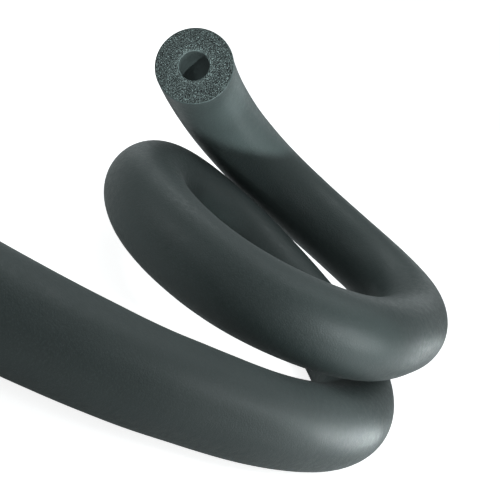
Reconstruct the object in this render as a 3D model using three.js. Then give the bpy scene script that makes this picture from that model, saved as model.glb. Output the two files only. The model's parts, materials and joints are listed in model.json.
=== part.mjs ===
// Foam rubber pipe insulation: one length of tube, lying as a loose coil on the floor.
// Units are millimetres, +Z is up, and the floor is at Z = 0.
import * as THREE from 'three';

// Stock sizes: for 22 mm pipe, with a 19 mm wall.
const boreDiameter = 23.5;
const wallThickness = 19;
const stockLength = 2000;
const tubeDiameter = boreDiameter + 2 * wallThickness;

// The turns go clockwise, seen from above, round an upright axis.
// A station of the tube's centre line has its bearing in degrees, its reach from the axis
// in turn radii, and in tube diameters its sidestep from the turn below and its lift.
const turnRadius = 100;
const coilStations = [
  { bearing: 185, reach: 1.28, sidestep: 0.54, lift: 1.77 },
  { bearing: 160, reach: 1.24, sidestep: 0.34, lift: 1.33 },
  { bearing: 130, reach: 1.1, sidestep: 0.53, lift: 0.96 },
  { bearing: 100, reach: 0.94, sidestep: 0.84, lift: 0.79 },
  { bearing: 70, reach: 0.83, sidestep: 0.98, lift: 0.86 },
  { bearing: 40, reach: 0.85, sidestep: 0.7, lift: 1.03 },
  { bearing: 10, reach: 0.96, sidestep: 0.12, lift: 1.0 },
  { bearing: -20, reach: 1.15, sidestep: -0.36, lift: 1.02 },
  { bearing: -50, reach: 1.05, sidestep: 0, lift: 0.96 },
  { bearing: -80, reach: 1.15, sidestep: 0, lift: 0.76 },
  { bearing: -110, reach: 1.29, sidestep: 0, lift: 0.52 },
  { bearing: -140, reach: 1.36, sidestep: 0, lift: 0.36 },
  { bearing: -170, reach: 1.31, sidestep: 0, lift: 0.31 },
  { bearing: -200, reach: 1.25, sidestep: 0, lift: 0.21 },
  { bearing: -230, reach: 1.11, sidestep: 0, lift: 0.08 },
  { bearing: -260, reach: 0.94, sidestep: 0, lift: 0 },
  { bearing: -290, reach: 0.82, sidestep: 0, lift: 0 },
  { bearing: -320, reach: 0.83, sidestep: 0, lift: 0 },
  { bearing: -350, reach: 0.95, sidestep: 0, lift: 0 },
  { bearing: -380, reach: 1.15, sidestep: 0, lift: 0 },
  { bearing: -405, reach: 1.34, sidestep: 0, lift: 0 },
  { bearing: -425, reach: 1.57, sidestep: 0, lift: 0 },
  { bearing: -440, reach: 1.88, sidestep: 0, lift: 0 },
  { bearing: -451, reach: 2.18, sidestep: 0, lift: 0 },
  { bearing: -460, reach: 2.61, sidestep: 0, lift: 0 },
];

// Past the last station the tube opens out into one wide bend.
const tailBendRadius = 820;

// How finely the surface is divided.
const outerSides = 28;
const boreSides = 16;
const stepsAlong = 96;
const samplesPerStation = 12;
const tailSampleLength = 5;

// The three values of a station: bearing in radians, reach and height.
function stationValues(station) {
  const bearing = THREE.MathUtils.degToRad(station.bearing);
  const reach = station.reach * turnRadius + station.sidestep * tubeDiameter;
  const height = (0.5 + station.lift) * tubeDiameter;
  return new THREE.Vector3(bearing, reach, height);
}

// The point beyond an end station that lets the blend reach that station.
function mirrored(end, neighbour) {
  return end.clone().multiplyScalar(2).sub(neighbour);
}

// A smooth blend of four neighbours, as in a uniform cubic B-spline.
function blend(four, t) {
  const weights = [
    (1 - t) ** 3 / 6,
    (3 * t ** 3 - 6 * t ** 2 + 4) / 6,
    (-3 * t ** 3 + 3 * t ** 2 + 3 * t + 1) / 6,
    t ** 3 / 6,
  ];
  const sum = new THREE.Vector3();
  four.forEach((values, i) => sum.addScaledVector(values, weights[i]));
  return sum;
}

function pointFromAxis({ x: bearing, y: reach, z: height }) {
  return new THREE.Vector3(reach * Math.cos(bearing), reach * Math.sin(bearing), height);
}

function coilPoints() {
  const values = coilStations.map(stationValues);
  const last = values.length - 1;
  const padded = [
    mirrored(values[0], values[1]),
    ...values,
    mirrored(values[last], values[last - 1]),
  ];
  const points = [];
  for (let i = 0; i < last; i += 1) {
    for (let k = 0; k < samplesPerStation; k += 1) {
      points.push(pointFromAxis(blend(padded.slice(i, i + 4), k / samplesPerStation)));
    }
  }
  points.push(pointFromAxis(values[last]));
  return points;
}

// The tail follows on in the coil's last direction and bends the same way round.
function tailPoints(coil, length) {
  const point = coil.at(-1).clone();
  const before = coil.at(-2);
  let heading = Math.atan2(point.y - before.y, point.x - before.x);
  const points = [];
  for (let run = 0; run < length; run += tailSampleLength) {
    heading -= tailSampleLength / tailBendRadius;
    point.x += tailSampleLength * Math.cos(heading);
    point.y += tailSampleLength * Math.sin(heading);
    points.push(point.clone());
  }
  return points;
}

// The centre line of the whole stock, cut off at its length.
class TubeRoute extends THREE.Curve {
  constructor(length) {
    super();
    const coil = coilPoints();
    this.line = new THREE.CatmullRomCurve3([...coil, ...tailPoints(coil, length)]);
    this.line.arcLengthDivisions = 4000;
    this.used = length / this.line.getLength();
  }

  getPoint(t, target = new THREE.Vector3()) {
    return this.line.getPointAt(Math.min(t * this.used, 1), target);
  }
}

function ringSection() {
  const section = new THREE.Shape();
  const bore = new THREE.Path();
  for (let i = 0; i < outerSides; i += 1) {
    const angle = 2 * Math.PI * i / outerSides;
    const x = tubeDiameter / 2 * Math.cos(angle);
    const y = tubeDiameter / 2 * Math.sin(angle);
    if (i === 0) section.moveTo(x, y);
    else section.lineTo(x, y);
  }
  for (let i = 0; i < boreSides; i += 1) {
    const angle = -2 * Math.PI * i / boreSides;
    const x = boreDiameter / 2 * Math.cos(angle);
    const y = boreDiameter / 2 * Math.sin(angle);
    if (i === 0) bore.moveTo(x, y);
    else bore.lineTo(x, y);
  }
  section.closePath();
  bore.closePath();
  section.holes.push(bore);
  return section;
}

const foamRubber = new THREE.MeshStandardMaterial({
  color: 0x3f4848,
  roughness: 0.6,
  metalness: 0,
});

function foamTube() {
  const geometry = new THREE.ExtrudeGeometry(ringSection(), {
    steps: stepsAlong,
    extrudePath: new TubeRoute(stockLength),
  });
  const mesh = new THREE.Mesh(geometry, foamRubber);
  mesh.name = 'foam_tube';
  return mesh;
}

const tube = foamTube();
tube.geometry.computeBoundingBox();
const bounds = tube.geometry.boundingBox;
const middle = bounds.getCenter(new THREE.Vector3());
tube.position.set(-middle.x, -middle.y, -bounds.min.z);

const pipeInsulation = new THREE.Group();
pipeInsulation.name = 'pipe_insulation';
pipeInsulation.add(tube);

export default pipeInsulation;
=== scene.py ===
import json
import math

import bpy
import numpy as np
from mathutils import Matrix, Vector
from mathutils.kdtree import KDTree

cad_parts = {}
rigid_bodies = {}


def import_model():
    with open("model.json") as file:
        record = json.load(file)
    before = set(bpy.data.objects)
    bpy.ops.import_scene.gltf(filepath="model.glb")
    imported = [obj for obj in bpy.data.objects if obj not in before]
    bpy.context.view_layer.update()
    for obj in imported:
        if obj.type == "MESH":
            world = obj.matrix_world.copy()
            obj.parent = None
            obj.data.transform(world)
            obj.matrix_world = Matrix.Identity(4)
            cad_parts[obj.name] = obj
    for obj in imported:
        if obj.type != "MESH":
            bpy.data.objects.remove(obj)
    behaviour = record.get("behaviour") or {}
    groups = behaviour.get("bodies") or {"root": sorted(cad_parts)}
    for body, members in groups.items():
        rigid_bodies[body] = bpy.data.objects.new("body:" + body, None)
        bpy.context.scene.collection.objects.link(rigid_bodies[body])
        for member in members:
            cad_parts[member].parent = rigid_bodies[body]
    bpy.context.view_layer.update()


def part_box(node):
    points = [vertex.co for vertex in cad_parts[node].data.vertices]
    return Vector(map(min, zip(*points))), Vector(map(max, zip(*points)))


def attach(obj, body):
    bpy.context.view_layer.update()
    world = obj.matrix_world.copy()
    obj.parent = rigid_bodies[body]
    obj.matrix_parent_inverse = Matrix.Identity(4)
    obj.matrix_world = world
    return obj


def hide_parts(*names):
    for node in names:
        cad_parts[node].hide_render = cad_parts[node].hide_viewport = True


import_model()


# Small helpers

def deselectAll():
    for thing in bpy.context.view_layer.objects:
        thing.select_set(False)


def makeActive(thing):
    deselectAll()
    thing.select_set(True)
    bpy.context.view_layer.objects.active = thing


def applyModifier(thing, name):
    makeActive(thing)
    bpy.ops.object.modifier_apply(modifier=name)


# The route: the same stations as the part has, in metres and degrees
route = {
    "tubeDiameter": 0.0615,
    "boreDiameter": 0.0235,
    "stockLength": 2.0,
    "tailBendRadius": 0.82,
    "samplesPerStation": 12,
    "tailStep": 0.005,
    "ringSpacing": 0.004,      # from one ring of the finished tube to the next
    "stations": [              # bearing, reach, and sidestep and lift in tube diameters
        (185, 0.128, 0.54, 1.77),
        (160, 0.124, 0.34, 1.33),
        (130, 0.110, 0.53, 0.96),
        (100, 0.094, 0.84, 0.79),
        (70, 0.083, 0.98, 0.86),
        (40, 0.085, 0.70, 1.03),
        (10, 0.096, 0.12, 1.00),
        (-20, 0.115, -0.36, 1.02),
        (-50, 0.105, 0, 0.96),
        (-80, 0.115, 0, 0.76),
        (-110, 0.129, 0, 0.52),
        (-140, 0.136, 0, 0.36),
        (-170, 0.131, 0, 0.31),
        (-200, 0.125, 0, 0.21),
        (-230, 0.111, 0, 0.08),
        (-260, 0.094, 0, 0),
        (-290, 0.082, 0, 0),
        (-320, 0.083, 0, 0),
        (-350, 0.095, 0, 0),
        (-380, 0.115, 0, 0),
        (-405, 0.134, 0, 0),
        (-425, 0.157, 0, 0),
        (-440, 0.188, 0, 0),
        (-451, 0.218, 0, 0),
        (-460, 0.261, 0, 0),
    ],
}
wallThickness = (route["tubeDiameter"] - route["boreDiameter"]) / 2


def stationValues(station):
    bearing, reach, sidestep, lift = station
    diameter = route["tubeDiameter"]
    return np.array([math.radians(bearing), reach + sidestep * diameter, (0.5 + lift) * diameter])


def blendWeights(t):
    # shares of four neighbouring stations, as in a uniform cubic B-spline
    return np.array([
        (1 - t) ** 3,
        3 * t ** 3 - 6 * t ** 2 + 4,
        -3 * t ** 3 + 3 * t ** 2 + 3 * t + 1,
        t ** 3,
    ]) / 6


def fromAxis(values):
    bearing, reach, height = values
    return np.array([reach * math.cos(bearing), reach * math.sin(bearing), height])


def coilPoints():
    values = [stationValues(s) for s in route["stations"]]
    before = 2 * values[0] - values[1]
    after = 2 * values[-1] - values[-2]
    padded = np.array([before, *values, after])
    perStation = route["samplesPerStation"]
    points = []
    for i in range(len(values) - 1):
        for k in range(perStation):
            points.append(fromAxis(blendWeights(k / perStation) @ padded[i:i + 4]))
    points.append(fromAxis(values[-1]))
    return points


def tailPoints(coil, length):
    # one wide bend that follows on in the coil's last direction
    point = coil[-1]
    run = coil[-1] - coil[-2]
    heading = math.atan2(run[1], run[0])
    step = route["tailStep"]
    points = []
    for _ in range(math.ceil(length / step)):
        heading -= step / route["tailBendRadius"]
        point = point + step * np.array([math.cos(heading), math.sin(heading), 0])
        points.append(point)
    return points


def evenlySpaced(points, length, spacing):
    points = np.array(points)
    run = np.concatenate([[0], np.cumsum(np.linalg.norm(np.diff(points, axis=0), axis=1))])
    wanted = np.linspace(0, length, round(length / spacing) + 1)
    return np.stack([np.interp(wanted, run, points[:, k]) for k in range(3)], axis=1)


def centreLine():
    coil = coilPoints()
    dense = coil + tailPoints(coil, route["stockLength"])
    return evenlySpaced(dense, route["stockLength"], route["ringSpacing"])


def unitRuns(line):
    runs = np.gradient(line, axis=0)
    return runs / np.linalg.norm(runs, axis=1)[:, None]


def planMiddle(line):
    # middle of the tube's own box in plan, rings square to the line
    radius = route["tubeDiameter"] / 2
    along = unitRuns(line)
    reach = radius * np.sqrt(1 - along[:, :2] ** 2)
    low = (line[:, :2] - reach).min(axis=0)
    high = (line[:, :2] + reach).max(axis=0)
    return (low + high) / 2


axisLine = centreLine()
nodeLow, nodeHigh = (Vector(corner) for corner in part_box("foam_tube"))
coilAxis = np.append(np.array(((nodeLow + nodeHigh) / 2)[:2]) - planMiddle(axisLine), 0)
axisLine = axisLine + coilAxis
print("route", len(axisLine), "points, coil axis at", coilAxis.round(4))


# The camera: low over the floor and rolled well to one side, as in the photograph
view = {
    "standFromAxis": (-0.0336, -0.7527, 0.2798),    # metres from the coil's axis on the floor
    "downTilt": 16.5,          # degrees
    "roll": 42.47,
    "focalPixels": 975.9,
    "imagePixels": 500,
    "sensor": 36,              # in millimetres, as Blender has it
    "clipStart": 0.01,
}


def makeCamera():
    tilt = math.radians(view["downTilt"])
    roll = math.radians(view["roll"])
    level = Vector((1, 0, 0))
    upright = Vector((0, math.sin(tilt), math.cos(tilt)))
    right = level * math.cos(roll) + upright * math.sin(roll)
    top = upright * math.cos(roll) - level * math.sin(roll)
    turn = Matrix((right, top, right.cross(top))).transposed()
    place = Vector(coilAxis) + Vector(view["standFromAxis"])
    bpy.ops.object.camera_add(location=place, rotation=turn.to_euler())
    camera = bpy.context.object
    camera.name = "photoCamera"
    camera.data.sensor_width = view["sensor"]
    camera.data.lens = view["sensor"] * view["focalPixels"] / view["imagePixels"]
    camera.data.clip_start = view["clipStart"]
    bpy.context.scene.camera = camera


makeCamera()
print("camera placed")


# The foam tube
tube = {
    "bevelResolution": 32,     # gives twice as many sides round the tube, and four more
    "cutLoops": 22,            # rings of edges between bore and skin on each cut face
    "cutRelief": 0.0004,       # of the torn foam on a cut face
    "cutReliefSize": 0.006,
    "arris": 0.0006,
    "arrisSegments": 3,
    "waviness": 0.0009,        # of the skin along the tube
    "wavinessSize": 0.09,
}
skinSlot, boreSlot, cutSlot = 0, 1, 2


def tubeShell():
    curve = bpy.data.curves.new("foamTube", "CURVE")
    curve.dimensions = "3D"
    curve.twist_mode = "MINIMUM"
    curve.bevel_depth = route["tubeDiameter"] / 2
    curve.bevel_resolution = tube["bevelResolution"]
    spline = curve.splines.new("POLY")
    spline.points.add(len(axisLine) - 1)
    for point, place in zip(spline.points, axisLine):
        point.co = (*place, 1)
    shell = bpy.data.objects.new("foamTube", curve)
    bpy.context.collection.objects.link(shell)
    makeActive(shell)
    bpy.ops.object.convert(target="MESH")
    return bpy.context.object


def thicken(piece):
    # skin, bore and cut faces each get a material slot of their own
    for _ in (skinSlot, boreSlot, cutSlot):
        piece.data.materials.append(None)
    wall = piece.modifiers.new("wall", "SOLIDIFY")
    wall.thickness = wallThickness
    wall.offset = -1
    wall.use_rim = True
    wall.material_offset = boreSlot - skinSlot
    wall.material_offset_rim = cutSlot - skinSlot
    applyModifier(piece, "wall")


def edgesBySlots(mesh):
    # the material slots of the faces on either side of each edge
    slots = {}
    for face in mesh.polygons:
        for key in face.edge_keys:
            slots.setdefault(key, []).append(face.material_index)
    return [sorted(slots[edge.key]) for edge in mesh.edges]


def selectEdges(piece, wanted):
    # leaves the piece in edit mode
    makeActive(piece)
    bpy.ops.object.mode_set(mode="EDIT")
    bpy.ops.mesh.select_mode(type="EDGE")
    bpy.ops.mesh.select_all(action="DESELECT")
    bpy.ops.object.mode_set(mode="OBJECT")
    for edge, slots in zip(piece.data.edges, edgesBySlots(piece.data)):
        edge.select = slots in wanted
    bpy.ops.object.mode_set(mode="EDIT")


def divideCutFaces(piece):
    selectEdges(piece, [[cutSlot, cutSlot]])
    bpy.ops.mesh.subdivide(number_cuts=tube["cutLoops"])
    bpy.ops.object.mode_set(mode="OBJECT")


def roundArrises(piece):
    # the knife leaves a soft edge round the outside and at the bore's mouth
    selectEdges(piece, [[skinSlot, cutSlot], [boreSlot, cutSlot]])
    bpy.ops.mesh.bevel(offset=tube["arris"], segments=tube["arrisSegments"], affect="EDGES")
    bpy.ops.object.mode_set(mode="OBJECT")


def straighten(piece):
    # each point of the foam as it lies in the straight tube: two across, one along
    runs = unitRuns(axisLine)
    sides = [np.array([0.0, 0.0, 1.0])]
    for run in runs:
        side = sides[-1] - run * (sides[-1] @ run)
        sides.append(side / np.linalg.norm(side))
    sides = np.array(sides[1:])
    tops = np.cross(runs, sides)
    tree = KDTree(len(axisLine))
    for k, place in enumerate(axisLine):
        tree.insert(place, k)
    tree.balance()
    store = piece.data.attributes.new("straightened", "FLOAT_VECTOR", "POINT")
    flat = np.empty((len(piece.data.vertices), 3))
    for vertex in piece.data.vertices:
        k = tree.find(vertex.co)[1]
        away = np.array(vertex.co) - axisLine[k]
        along = k * route["ringSpacing"] + away @ runs[k]
        flat[vertex.index] = (away @ sides[k], away @ tops[k], along)
    store.data.foreach_set("vector", flat.ravel())


def displace(piece, name, size, strength, group=""):
    lumps = bpy.data.textures.new(name, "CLOUDS")
    lumps.noise_scale = size
    push = piece.modifiers.new(name, "DISPLACE")
    push.texture = lumps
    push.texture_coords = "LOCAL"
    push.mid_level = 0.5
    push.strength = strength
    push.vertex_group = group
    applyModifier(piece, name)


def roughenCutFaces(piece):
    # only at points that no face of the skin or the bore shares
    cut = piece.vertex_groups.new(name="cutFaces")
    inside = set()
    for face in piece.data.polygons:
        if face.material_index == cutSlot:
            inside.update(face.vertices)
    for face in piece.data.polygons:
        if face.material_index != cutSlot:
            inside.difference_update(face.vertices)
    cut.add(sorted(inside), 1.0, "REPLACE")
    displace(piece, "cutRelief", tube["cutReliefSize"], tube["cutRelief"], "cutFaces")


foamTube = tubeShell()
thicken(foamTube)
divideCutFaces(foamTube)
roundArrises(foamTube)
straighten(foamTube)
displace(foamTube, "waviness", tube["wavinessSize"], tube["waviness"])
roughenCutFaces(foamTube)
makeActive(foamTube)
bpy.ops.object.shade_smooth()
print("foam tube shaped,", len(foamTube.data.polygons), "faces")


# Nodes that the materials share

def feed(tree, socket, value):
    # a number or a colour goes in as it is, another node's output by a link
    if isinstance(value, (int, float)):
        socket.default_value = value
    elif isinstance(value, tuple):
        socket.default_value = (*value, 1)
    else:
        tree.links.new(value, socket)


def addMath(tree, operation, first, second=None, third=None, clamp=False):
    node = tree.nodes.new("ShaderNodeMath")
    node.operation = operation
    node.use_clamp = clamp
    for socket, value in zip(node.inputs, (first, second, third)):
        if value is not None:
            feed(tree, socket, value)
    return node.outputs[0]


def addNoise(tree, vector, scale, detail, roughness=0.5):
    noise = tree.nodes.new("ShaderNodeTexNoise")
    feed(tree, noise.inputs["Vector"], vector)
    feed(tree, noise.inputs["Scale"], scale)
    feed(tree, noise.inputs["Detail"], detail)
    feed(tree, noise.inputs["Roughness"], roughness)
    return noise.outputs["Fac"]


def stretch(tree, value, level, contrast, rest=0.0):
    # rest where the value is at its level, steeper by the contrast, kept within 0 and 1
    offLevel = addMath(tree, "SUBTRACT", value, level)
    return addMath(tree, "MULTIPLY_ADD", offLevel, contrast, rest, clamp=True)


def newGroup(name, outputs):
    # every group takes a place on the foam and the size of its pattern there
    group = bpy.data.node_groups.new(name, "ShaderNodeTree")
    group.interface.new_socket("Vector", in_out="INPUT", socket_type="NodeSocketVector")
    group.interface.new_socket("Size", in_out="INPUT", socket_type="NodeSocketFloat")
    for label in outputs:
        group.interface.new_socket(label, in_out="OUTPUT", socket_type="NodeSocketFloat")
    start = group.nodes.new("NodeGroupInput").outputs
    end = group.nodes.new("NodeGroupOutput").inputs
    scale = addMath(group, "DIVIDE", 1.0, start["Size"])
    return group, start["Vector"], scale, end


grainPattern = {
    "detail": 3.0,
    "roughness": 0.65,
    "coarseScale": 0.27,       # of the fine grain's scale
    "coarseDetail": 2.0,
    "coarseShare": 0.8,        # of the fine grain's height
    "speckLevel": 0.52,
    "speckContrast": 7.0,
}
grainMiddle = (1 + grainPattern["coarseShare"]) / 2


def makeGrainGroup():
    # the fine satin grain of moulded foam skin
    group, vector, scale, end = newGroup("foamGrain", ("Height", "Speck"))
    fine = addNoise(group, vector, scale, grainPattern["detail"], grainPattern["roughness"])
    coarseScale = addMath(group, "MULTIPLY", scale, grainPattern["coarseScale"])
    coarse = addNoise(group, vector, coarseScale, grainPattern["coarseDetail"])
    height = addMath(group, "MULTIPLY_ADD", coarse, grainPattern["coarseShare"], fine)
    speck = stretch(group, fine, grainPattern["speckLevel"], grainPattern["speckContrast"])
    group.links.new(height, end["Height"])
    group.links.new(speck, end["Speck"])
    return group


cellPattern = {
    "smallScale": 1.9,         # of the large cells' scale
    "smallShare": 0.6,         # of the large cells' height
    "wallLevel": 0.55,
    "wallContrast": 2.2,
}


def makeCellGroup():
    # open foam cells, cut through: round pits with thin walls between them, the mask by which the
    # cut foam gets painted shade in its pits
    group, vector, scale, end = newGroup("foamCells", ("Height", "Wall"))
    heights = []
    for share in (1.0, cellPattern["smallScale"]):
        cells = group.nodes.new("ShaderNodeTexVoronoi")
        cells.feature = "F1"
        group.links.new(vector, cells.inputs["Vector"])
        group.links.new(addMath(group, "MULTIPLY", scale, share), cells.inputs["Scale"])
        heights.append(cells.outputs["Distance"])
    large, small = heights
    height = addMath(group, "MULTIPLY_ADD", small, cellPattern["smallShare"], large)
    wall = stretch(group, height, cellPattern["wallLevel"], cellPattern["wallContrast"])
    group.links.new(height, end["Height"])
    group.links.new(wall, end["Wall"])
    return group


mottlePattern = {
    "detail": 4.0,
    "roughness": 0.6,
    "contrast": 2.2,
}


def makeMottleGroup():
    # broad, faint patches, so that no stretch of foam is one flat colour
    group, vector, scale, end = newGroup("foamMottle", ("Mask",))
    broad = addNoise(group, vector, scale, mottlePattern["detail"], mottlePattern["roughness"])
    group.links.new(stretch(group, broad, 0.5, mottlePattern["contrast"], 0.5), end["Mask"])
    return group


grainGroup = makeGrainGroup()
cellGroup = makeCellGroup()
mottleGroup = makeMottleGroup()


def newMaterial(name):
    material = bpy.data.materials.new(name)
    material.use_nodes = True
    tree = material.node_tree
    return material, tree, tree.nodes["Principled BSDF"].inputs


def addPattern(tree, group, size):
    # by Object coordinates, so that it runs through the whole tube without a seam
    node = tree.nodes.new("ShaderNodeGroup")
    node.node_tree = group
    tree.links.new(tree.nodes.new("ShaderNodeTexCoord").outputs["Object"], node.inputs["Vector"])
    node.inputs["Size"].default_value = size
    return node.outputs


def straightPlace(tree):
    node = tree.nodes.new("ShaderNodeAttribute")
    node.attribute_name = "straightened"
    return node.outputs["Vector"]


def mixColour(tree, mask, first, second):
    mix = tree.nodes.new("ShaderNodeMix")
    mix.data_type = "RGBA"
    feed(tree, mix.inputs["Factor"], mask)
    feed(tree, mix.inputs["A"], first)
    feed(tree, mix.inputs["B"], second)
    return mix.outputs["Result"]


def shade(colour, factor):
    return tuple(channel * factor for channel in colour)


def shadesBetween(tree, mask, colour, shades):
    # from the darkest to the lightest shade of one colour
    darkest, lightest = shades
    return mixColour(tree, mask, shade(colour, darkest), shade(colour, lightest))


def vary(tree, value, middle, swing, mean):
    # swings with the value, and is the mean where the value is at its middle
    return addMath(tree, "MULTIPLY_ADD", value, swing, mean - swing * middle)


def bump(tree, height, depth, strength, under=None):
    node = tree.nodes.new("ShaderNodeBump")
    feed(tree, node.inputs["Strength"], strength)
    feed(tree, node.inputs["Distance"], depth)
    feed(tree, node.inputs["Height"], height)
    if under is not None:
        feed(tree, node.inputs["Normal"], under)
    return node.outputs["Normal"]


# The skin outside
skinLook = {
    "colour": (0.0460, 0.0605, 0.0590),
    "patchSize": 0.045,
    "patchShades": (0.9, 1.1),
    "streakWidth": 0.004,
    "streakLength": 0.25,
    "streakDetail": 2.0,
    "streakShades": (0.92, 1.08),
    "streakShare": 0.35,       # streaks in the colour, against patches
    "streakDepth": 0.0002,
    "streakStrength": 0.2,
    "grainSize": 0.0011,
    "grainDepth": 0.0003,
    "grainStrength": 0.6,
    "speckShade": 1.6,
    "speckShare": 0.4,
    "roughness": 0.512,
    "patchRoughness": 0.08,    # how far the patches and the grain swing the roughness
    "grainRoughness": 0.5,
    "gloss": 0.5,
    "grainGloss": 0.3,
    "sheen": 0.06,             # the downy light along the edges of matt foam skin
    "sheenRoughness": 0.35,
}


def addStreaks(tree):
    # faint lines that the die leaves along the tube
    scaled = tree.nodes.new("ShaderNodeVectorMath")
    scaled.operation = "MULTIPLY"
    tree.links.new(straightPlace(tree), scaled.inputs[0])
    across = 1 / skinLook["streakWidth"]
    scaled.inputs[1].default_value = (across, across, 1 / skinLook["streakLength"])
    return addNoise(tree, scaled.outputs["Vector"], 1.0, skinLook["streakDetail"])


def makeSkin():
    material, tree, surface = newMaterial("foamSkin")
    grain = addPattern(tree, grainGroup, skinLook["grainSize"])
    mottle = addPattern(tree, mottleGroup, skinLook["patchSize"])["Mask"]
    streaks = addStreaks(tree)
    colour = skinLook["colour"]
    patched = shadesBetween(tree, mottle, colour, skinLook["patchShades"])
    streaked = shadesBetween(tree, streaks, colour, skinLook["streakShades"])
    plain = mixColour(tree, skinLook["streakShare"], patched, streaked)
    specks = addMath(tree, "MULTIPLY", grain["Speck"], skinLook["speckShare"])
    speckled = mixColour(tree, specks, plain, shade(colour, skinLook["speckShade"]))
    tree.links.new(speckled, surface["Base Color"])
    meanRough = skinLook["roughness"] - skinLook["patchRoughness"] / 2
    grainRough = vary(tree, grain["Height"], grainMiddle, skinLook["grainRoughness"], meanRough)
    rough = addMath(tree, "MULTIPLY_ADD", mottle, skinLook["patchRoughness"], grainRough)
    tree.links.new(rough, surface["Roughness"])
    gloss = vary(tree, grain["Height"], grainMiddle, skinLook["grainGloss"], skinLook["gloss"])
    tree.links.new(gloss, surface["Specular IOR Level"])
    surface["Sheen Weight"].default_value = skinLook["sheen"]
    surface["Sheen Roughness"].default_value = skinLook["sheenRoughness"]
    lines = bump(tree, streaks, skinLook["streakDepth"], skinLook["streakStrength"])
    grained = bump(tree, grain["Height"], skinLook["grainDepth"], skinLook["grainStrength"], lines)
    tree.links.new(grained, surface["Normal"])
    return material


# The bore
boreLook = {
    "colour": (0.041, 0.0535, 0.052),
    "patchSize": 0.015,
    "patchShades": (0.85, 1.15),
    "roughness": 0.62,
    "patchRoughness": 0.1,
    "grainSize": 0.0011,
    "grainDepth": 0.00015,
    "grainStrength": 0.9,
}


def makeBore():
    material, tree, surface = newMaterial("foamBore")
    grain = addPattern(tree, grainGroup, boreLook["grainSize"])
    mottle = addPattern(tree, mottleGroup, boreLook["patchSize"])["Mask"]
    patched = shadesBetween(tree, mottle, boreLook["colour"], boreLook["patchShades"])
    tree.links.new(patched, surface["Base Color"])
    rough = vary(tree, mottle, 0.5, boreLook["patchRoughness"], boreLook["roughness"])
    tree.links.new(rough, surface["Roughness"])
    grained = bump(tree, grain["Height"], boreLook["grainDepth"], boreLook["grainStrength"])
    tree.links.new(grained, surface["Normal"])
    return material


# The cut faces, where the knife opened the cells
cutLook = {
    "colour": (0.0475, 0.0603, 0.0584),
    "patchSize": 0.0075,
    "patchShades": (0.9, 1.08),
    "cellSize": 0.0013,
    # painted shade in the cells' pits, as a share of the cut's colour
    "paintedPitShade": 0.12,
    "grainSize": 0.00078,
    "grainShare": 0.5,         # of the cells' height
    "speckShade": 6.0,         # painted highlight: tips of cell walls that catch the light
    "speckShare": 0.7,
    "roughness": 0.85,
    "gloss": 0.3,
    "reliefDepth": 0.0009,
    "reliefStrength": 0.9,
    "ringWidth": 0.0009,       # the dense skin, seen end on
    "ringShade": 1.8,          # of the skin's colour
    "ringRoughness": 0.5,
}


def skinRing(tree):
    # 1 on the thin smooth ring at the outside and on the one round the bore
    across = tree.nodes.new("ShaderNodeSeparateXYZ")
    tree.links.new(straightPlace(tree), across.inputs[0])
    x, y = across.outputs["X"], across.outputs["Y"]
    squares = addMath(tree, "MULTIPLY_ADD", x, x, addMath(tree, "MULTIPLY", y, y))
    reach = addMath(tree, "SQRT", squares)
    wallMiddle = (route["boreDiameter"] + wallThickness) / 2
    offMiddle = addMath(tree, "ABSOLUTE", addMath(tree, "SUBTRACT", reach, wallMiddle))
    ringStart = wallThickness / 2 - cutLook["ringWidth"]
    return stretch(tree, offMiddle, ringStart, 2 / cutLook["ringWidth"])


def makeCutFoam():
    material, tree, surface = newMaterial("cutFoam")
    cells = addPattern(tree, cellGroup, cutLook["cellSize"])
    grain = addPattern(tree, grainGroup, cutLook["grainSize"])
    mottle = addPattern(tree, mottleGroup, cutLook["patchSize"])["Mask"]
    ring = skinRing(tree)
    colour = cutLook["colour"]
    patched = shadesBetween(tree, mottle, colour, cutLook["patchShades"])
    # painted shade: the pits of the cells darkened as if shadowed, the walls between them keep the
    # patched colour
    pitShaded = mixColour(tree, cells["Wall"], shade(colour, cutLook["paintedPitShade"]), patched)
    # painted highlight: bright specks laid over the cut face's colour, as on cell-wall tips that
    # catch the light
    specks = addMath(tree, "MULTIPLY", grain["Speck"], cutLook["speckShare"])
    speckled = mixColour(tree, specks, pitShaded, shade(colour, cutLook["speckShade"]))
    ringed = mixColour(tree, ring, speckled, shade(skinLook["colour"], cutLook["ringShade"]))
    tree.links.new(ringed, surface["Base Color"])
    smoother = cutLook["ringRoughness"] - cutLook["roughness"]
    rough = addMath(tree, "MULTIPLY_ADD", ring, smoother, cutLook["roughness"])
    tree.links.new(rough, surface["Roughness"])
    surface["Specular IOR Level"].default_value = cutLook["gloss"]
    torn = addMath(tree, "MULTIPLY_ADD", grain["Height"], cutLook["grainShare"], cells["Height"])
    height = addMath(tree, "MULTIPLY", torn, addMath(tree, "SUBTRACT", 1.0, ring))
    relief = bump(tree, height, cutLook["reliefDepth"], cutLook["reliefStrength"])
    tree.links.new(relief, surface["Normal"])
    return material


foamTube.data.materials[skinSlot] = makeSkin()
foamTube.data.materials[boreSlot] = makeBore()
foamTube.data.materials[cutSlot] = makeCutFoam()
print("foam materials made")


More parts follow.
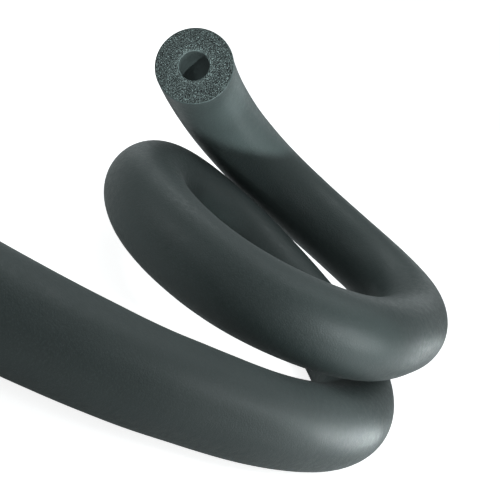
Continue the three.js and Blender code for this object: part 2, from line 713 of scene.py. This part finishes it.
# Floor, surroundings and soft lights
studio = {
    "floorSize": 16,
    "floorDrop": 0.0004,       # puts it under the lowest wave of the skin
    "floorColour": (0.80, 0.80, 0.80),
    "floorRoughness": 0.9,
    "floorSeen": 0.85,         # its own light as the camera sees it
    "floorGlow": 0.05,         # and as it falls on the foam
    "backdropSeen": 1.1,
    "fillLight": 0.29,         # the backdrop's, as it falls on the foam
    "lightColour": (0.92, 1.0, 1.012),
    "aims": {                  # in metres from the coil's axis on the floor
        "coil": (0, 0, 0.06),
        "cutEnd": (-0.1606, -0.0141, 0.1396),
        "aboveEnd": (-0.1593, 0.0263, 0.3249),
        "armEnd": (-0.125, 0.020, 0.140),
        "underArm": (-0.092, 0.078, 0.078),
        "aboveArm": (-0.0485, -0.0101, 0.3446),
        "upperFront": (0.056, -0.127, 0.096),
        "upperMiddle": (0.070, -0.116, 0.099),
        "upperRight": (0.106, -0.062, 0.110),
        "lowerFront": (0.101, -0.146, 0.044),
        "lowerRight": (0.107, -0.131, 0.047),
    },
    "boxes": [                 # name, aim, bearing, elevation, distance, size and watts
        ("topBox", "coil", 0, 80, 1.3, 0.6, 2.7),
        ("topLeftBox", "coil", 310, 40, 1.3, 0.6, 2.2),
        ("leftBox", "coil", 240, 20, 1.3, 0.5, 1.7),
        ("farRightBox", "coil", 56, 5, 2.0, 0.2, 3.4),
        ("backRightBox", "coil", 50, 35, 1.0, 0.3, 0.22),
        ("backBox", "coil", 10, 15, 1.0, 0.3, 0.26),
        ("backLeftBox", "coil", 320, 5, 1.2, 0.4, 0.32),
        ("frontHighBox", "coil", 140, 35, 0.42, 0.12, 0.08),
        ("frontLowBox", "coil", 120, -3, 0.42, 0.12, 0.12),
        ("upperFrontBox", "upperFront", 113, 26, 0.15, 0.05, 0.07),
        ("lowerFrontBox", "lowerFront", 61, 3, 0.15, 0.05, 0.010),
        ("lowerRightBox", "lowerRight", 50, 10, 0.25, 0.08, 0.08),
    ],
    "spots": [                 # name, aim, bearing, elevation, distance, cone, blend and watts
        ("endSpot", "aboveEnd", 147.24, 5.18, 1.1, 24, 0.015, 54),
        ("armSpot", "aboveArm", 118.28, 0, 1.1, 24, 0.015, 15),
        ("armEndSpot", "armEnd", 100, 25, 0.4, 9, 1.0, 3.4),
        ("eyeSpot", "underArm", 150, -33, 0.11, 60, 1.0, 0.055),
        ("boreFloorSpot", "cutEnd", 182, 20, 0.75, 2.0, 0.25, 20),
        ("boreWallSpot", "cutEnd", 194, 12, 0.75, 2.0, 0.25, 31),
        ("upperFrontSpot", "upperFront", 113, 26, 0.4, 14, 1.0, 1.9),
        ("upperMiddleSpot", "upperMiddle", 99, 24, 0.4, 12, 1.0, 1.2),
        ("upperRightSpot", "upperRight", 43, 8, 0.4, 16, 1.0, 0.8),
        ("lowerRightSpot", "lowerRight", 55, 6, 0.4, 10, 1.0, 1.8),
        ("lowerRightHighSpot", "lowerRight", 52, 20, 0.4, 10, 1.0, 0.6),
    ],
    "spotRadius": 0.005,
}


def awayFrom(bearing, elevation):
    # bearing from +Y towards +X, elevation above level
    turn, tilt = math.radians(bearing), math.radians(elevation)
    return Vector((math.cos(tilt) * math.sin(turn), math.cos(tilt) * math.cos(turn), math.sin(tilt)))


def addLamp(kind, name, watts):
    bpy.ops.object.light_add(type=kind)
    lamp = bpy.context.object
    lamp.name = name
    lamp.data.energy = watts
    lamp.data.color = studio["lightColour"]
    lamp.visible_camera = False
    return lamp


def placeLamp(lamp, aim, bearing, elevation, distance):
    target = Vector(coilAxis) + Vector(studio["aims"][aim])
    lamp.location = target + distance * awayFrom(bearing, elevation)
    lamp.rotation_euler = (lamp.location - target).to_track_quat("Z", "Y").to_euler()


def addSoftbox(name, aim, bearing, elevation, distance, size, watts):
    lamp = addLamp("AREA", name, watts)
    lamp.data.shape = "DISK"
    lamp.data.size = size
    placeLamp(lamp, aim, bearing, elevation, distance)


def addSpot(name, aim, bearing, elevation, distance, cone, blend, watts):
    lamp = addLamp("SPOT", name, watts)
    lamp.data.spot_size = math.radians(cone)
    lamp.data.spot_blend = blend
    lamp.data.shadow_soft_size = studio["spotRadius"]
    placeLamp(lamp, aim, bearing, elevation, distance)


def glowWhere(tree, seen, unseen):
    # one strength where the camera sees it and another as a source of light
    rays = tree.nodes.new("ShaderNodeLightPath")
    return addMath(tree, "MULTIPLY_ADD", rays.outputs["Is Camera Ray"], seen - unseen, unseen)


def makeFloor():
    deselectAll()
    bpy.ops.mesh.primitive_plane_add(size=studio["floorSize"], location=(0, 0, -studio["floorDrop"]))
    floor = bpy.context.object
    floor.name = "studioFloor"
    material, tree, surface = newMaterial("paleFloor")
    surface["Base Color"].default_value = (*studio["floorColour"], 1)
    surface["Roughness"].default_value = studio["floorRoughness"]
    surface["Emission Color"].default_value = (1, 1, 1, 1)
    glow = glowWhere(tree, studio["floorSeen"], studio["floorGlow"])
    tree.links.new(glow, surface["Emission Strength"])
    floor.data.materials.append(material)


def makeSurroundings():
    world = bpy.context.scene.world or bpy.data.worlds.new("studio")
    bpy.context.scene.world = world
    world.use_nodes = True
    tree = world.node_tree
    backdrop = tree.nodes["Background"].inputs
    backdrop["Color"].default_value = (*studio["lightColour"], 1)
    glow = glowWhere(tree, studio["backdropSeen"], studio["fillLight"])
    tree.links.new(glow, backdrop["Strength"])
    bpy.context.scene.view_settings.view_transform = "Standard"


makeFloor()
makeSurroundings()
for box in studio["boxes"]:
    addSoftbox(*box)
for spot in studio["spots"]:
    addSpot(*spot)
print("floor and", len(studio["boxes"]) + len(studio["spots"]), "lamps placed")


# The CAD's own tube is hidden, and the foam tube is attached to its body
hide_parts("foam_tube")
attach(foamTube, "root")
